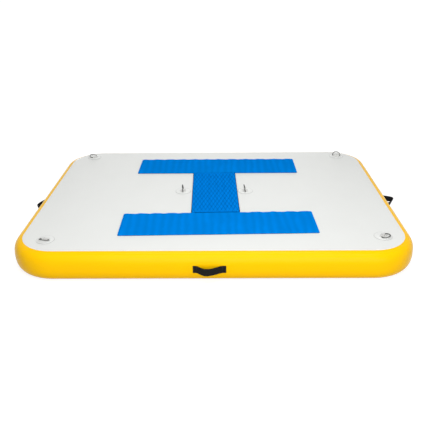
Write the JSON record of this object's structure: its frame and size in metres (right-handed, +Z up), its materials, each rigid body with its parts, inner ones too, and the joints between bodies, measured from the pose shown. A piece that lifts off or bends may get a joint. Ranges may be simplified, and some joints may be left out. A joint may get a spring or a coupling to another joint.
{
  "type": "inflatable dock platform",
  "caption": "Flat drop-stitch air platform with a bulged side wall, foam traction pads, hinged D-rings, webbing carry handles and a sprung inflation valve.",
  "frame": {"origin": "on the ground, under the middle of the platform", "axes": "+X along the platform's length, +Y towards the side with the valve, +Z up out of the deck"},
  "size_m": [2.0994, 1.5734, 0.1922],
  "materials": {
    "white_coated_fabric": "satin",
    "yellow_coated_fabric": "satin",
    "grey_coated_fabric": "matte",
    "polyester_yarn": "matte",
    "blue_foam": "brushed foam",
    "blue_grooved_foam": "grooved foam",
    "white_webbing": "woven",
    "black_webbing": "woven",
    "stainless_steel": "polished",
    "grey_valve_plastic": "satin",
    "black_rubber": "matte"
  },
  "bodies": {
    "platform": {"deck_skin": "white_coated_fabric", "bottom_skin": "white_coated_fabric", "side_wall_outer": "yellow_coated_fabric", "side_wall_liner": "grey_coated_fabric", "drop_stitch_row_1": "polyester_yarn", "drop_stitch_row_2": "polyester_yarn", "drop_stitch_row_3": "polyester_yarn", "drop_stitch_row_4": "polyester_yarn", "drop_stitch_row_5": "polyester_yarn", "drop_stitch_row_6": "polyester_yarn", "drop_stitch_row_7": "polyester_yarn", "traction_pad_rear": "blue_foam", "traction_pad_front": "blue_foam", "traction_pad_centre": "blue_grooved_foam", "d_ring_patch_near_right": "white_coated_fabric", "d_ring_loop_near_right": "white_webbing", "d_ring_patch_near_left": "white_coated_fabric", "d_ring_loop_near_left": "white_webbing", "d_ring_patch_far_left": "white_coated_fabric", "d_ring_loop_far_left": "white_webbing", "d_ring_patch_far_right": "white_coated_fabric", "d_ring_loop_far_right": "white_webbing", "d_ring_patch_centre_left": "white_coated_fabric", "d_ring_loop_centre_left": "white_webbing", "d_ring_patch_centre_right": "white_coated_fabric", "d_ring_loop_centre_right": "white_webbing", "handle_patch_front": "yellow_coated_fabric", "handle_end_front_a": "black_webbing", "handle_end_front_b": "black_webbing", "handle_patch_rear": "yellow_coated_fabric", "handle_end_rear_a": "black_webbing", "handle_end_rear_b": "black_webbing", "handle_patch_left": "yellow_coated_fabric", "handle_end_left_a": "black_webbing", "handle_end_left_b": "black_webbing", "handle_patch_right": "yellow_coated_fabric", "handle_end_right_a": "black_webbing", "handle_end_right_b": "black_webbing", "valve_body": "grey_valve_plastic", "valve_clamp_ring": "grey_valve_plastic", "valve_gasket": "black_rubber", "valve_spring": "stainless_steel"},
    "ring_near_right": {"d_ring_near_right": "stainless_steel"},
    "ring_near_left": {"d_ring_near_left": "stainless_steel"},
    "ring_far_left": {"d_ring_far_left": "stainless_steel"},
    "ring_far_right": {"d_ring_far_right": "stainless_steel"},
    "ring_centre_left": {"d_ring_centre_left": "stainless_steel"},
    "ring_centre_right": {"d_ring_centre_right": "stainless_steel"},
    "grip_front": {"handle_grip_front": "black_webbing"},
    "grip_rear": {"handle_grip_rear": "black_webbing"},
    "grip_left": {"handle_grip_left": "black_webbing"},
    "grip_right": {"handle_grip_right": "black_webbing"},
    "poppet": {"valve_poppet": "grey_valve_plastic", "valve_poppet_seal": "black_rubber"},
    "cap_seal": {"valve_cap_seal": "black_rubber"},
    "cap": {"valve_cap": "grey_valve_plastic"}
  },
  "joints": [
    {"name": "ring_near_right_hinge", "type": "hinge", "parent": "platform", "child": "ring_near_right", "pos_m": [0.841, -0.566, 0.1549], "axis": [-0.5446, -0.8387, 0], "range_deg": [-10, 170]},
    {"name": "ring_near_left_hinge", "type": "hinge", "parent": "platform", "child": "ring_near_left", "pos_m": [-0.826, -0.592, 0.1549], "axis": [-0.9455, 0.3256, 0], "range_deg": [-21, 159]},
    {"name": "ring_far_left_hinge", "type": "hinge", "parent": "platform", "child": "ring_far_left", "pos_m": [-0.832, 0.617, 0.1549], "axis": [0.5446, 0.8387, 0], "range_deg": [-15, 165]},
    {"name": "ring_far_right_hinge", "type": "hinge", "parent": "platform", "child": "ring_far_right", "pos_m": [0.828, 0.618, 0.1549], "axis": [0.9903, -0.1392, 0], "range_deg": [-27, 153]},
    {"name": "ring_centre_left_hinge", "type": "hinge", "parent": "platform", "child": "ring_centre_left", "pos_m": [-0.183, 0.015, 0.1549], "axis": [0, 1, 0], "range_deg": [-84, 96]},
    {"name": "ring_centre_right_hinge", "type": "hinge", "parent": "platform", "child": "ring_centre_right", "pos_m": [0.183, 0.015, 0.1549], "axis": [0, -1, 0], "range_deg": [-104, 76]},
    {"name": "grip_front_hinge", "type": "hinge", "parent": "platform", "child": "grip_front", "pos_m": [-0.0135, -0.7663, 0.075], "axis": [-1, 0, 0], "range_deg": [-35, 35]},
    {"name": "grip_rear_hinge", "type": "hinge", "parent": "platform", "child": "grip_rear", "pos_m": [0, 0.7663, 0.075], "axis": [1, 0, 0], "range_deg": [-35, 35]},
    {"name": "grip_left_hinge", "type": "hinge", "parent": "platform", "child": "grip_left", "pos_m": [-1.0163, 0, 0.075], "axis": [0, 1, 0], "range_deg": [-35, 35]},
    {"name": "grip_right_hinge", "type": "hinge", "parent": "platform", "child": "grip_right", "pos_m": [1.0163, 0.009, 0.075], "axis": [0, -1, 0], "range_deg": [-35, 35]},
    {"name": "poppet_slide", "type": "slide", "parent": "platform", "child": "poppet", "axis": [0, -1, 0], "range_m": [0, 0.0035], "stiffness_N_per_m": 400, "springref_m": -0.002, "deforming": ["valve_spring"]},
    {"name": "cap_pull", "type": "slide", "parent": "platform", "child": "cap_seal", "axis": [0, 1, 0], "range_m": [0, 0.03]},
    {"name": "cap_turn", "type": "hinge", "parent": "cap_seal", "child": "cap", "pos_m": [-0.52, 0.75, 0.075], "axis": [0, 1, 0], "continuous": true}
  ]
}
